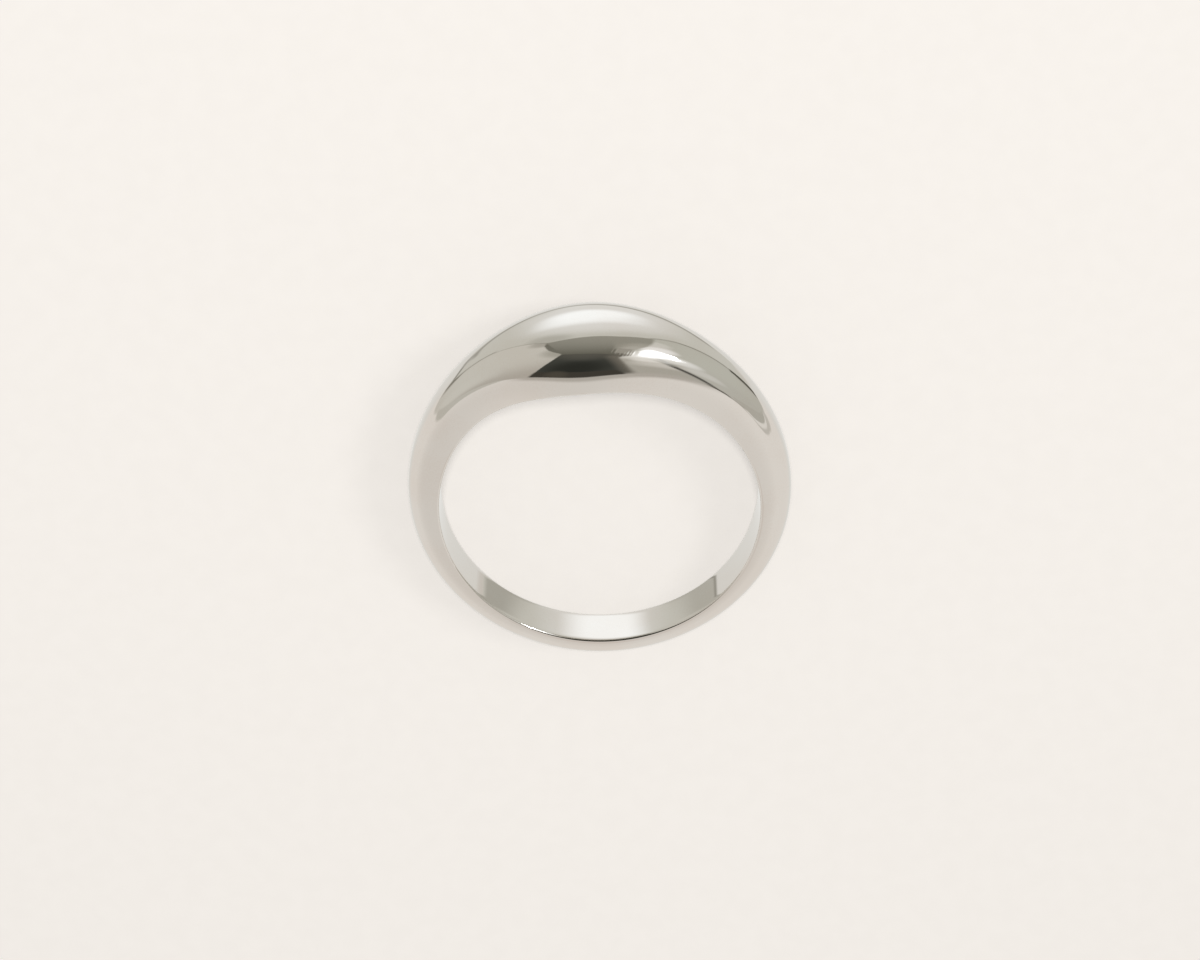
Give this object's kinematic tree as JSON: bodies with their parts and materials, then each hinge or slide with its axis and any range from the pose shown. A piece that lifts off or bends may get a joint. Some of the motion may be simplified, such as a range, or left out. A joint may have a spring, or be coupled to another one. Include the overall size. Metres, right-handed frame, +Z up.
{
  "type": "domed statement ring",
  "caption": "Polished metal finger ring in one piece: a plain narrow band that swells into a wide, smooth domed crown.",
  "frame": {"origin": "middle of the footprint, on the surface that the ring lies on", "axes": "+Z up, out of the surface and close to the bore's axis; the crown's middle points to -Y; +X completes the frame"},
  "size_m": [0.0198, 0.02, 0.0066],
  "materials": {
    "metal": "mirror-polished stainless steel, silver-coloured and faintly warm, with fine wear marks"
  },
  "bodies": {
    "root": {"ring": "metal"}
  },
  "joints": []
}
